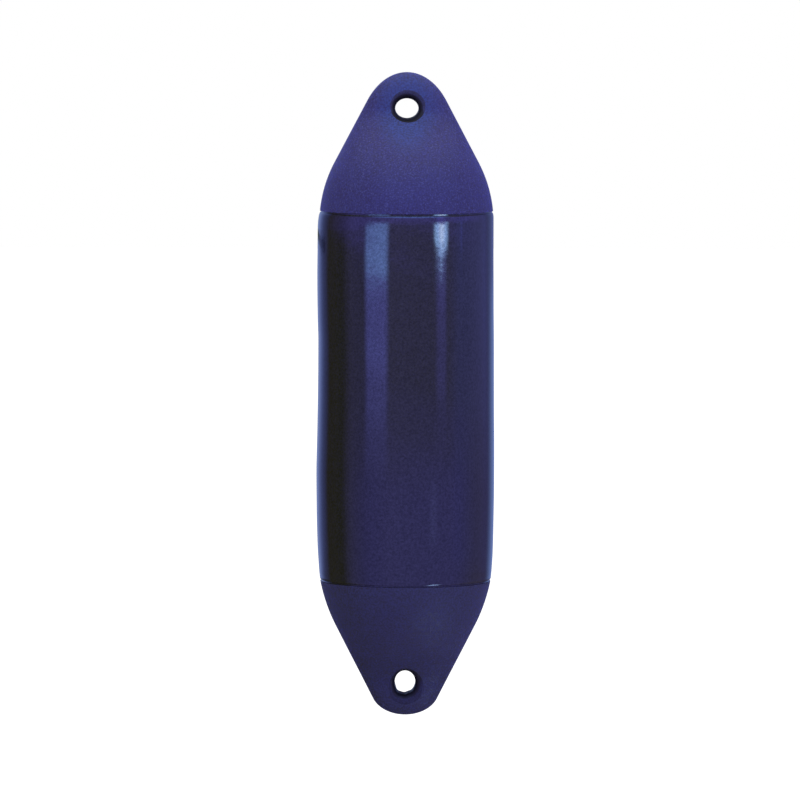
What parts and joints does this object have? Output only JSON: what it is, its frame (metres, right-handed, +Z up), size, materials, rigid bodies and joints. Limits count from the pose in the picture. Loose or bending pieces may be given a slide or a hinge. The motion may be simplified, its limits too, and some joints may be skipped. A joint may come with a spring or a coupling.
{
  "type": "boat fender",
  "caption": "Cylindrical inflatable boat fender in navy vinyl: polished barrel, matt ends that flatten into rope eyes, and an inflation valve on the back.",
  "frame": {"origin": "middle of the upper rope eye, halfway through the lug", "axes": "+Z up the fender's axis as it hangs, +Y along the rope eyes towards the back where the valve is, front faces -Y"},
  "size_m": [0.1648, 0.1648, 0.6],
  "materials": {
    "vinyl": "soft navy vinyl, polished on the barrel and finely grained and matt on the ends",
    "valve_plastic": "moulded dark nylon, satin",
    "seal_rubber": "soft black rubber"
  },
  "bodies": {
    "root": {"fender_body": "vinyl", "valve_insert": "valve_plastic", "valve_plug": "valve_plastic", "valve_seal": "seal_rubber"}
  },
  "joints": []
}
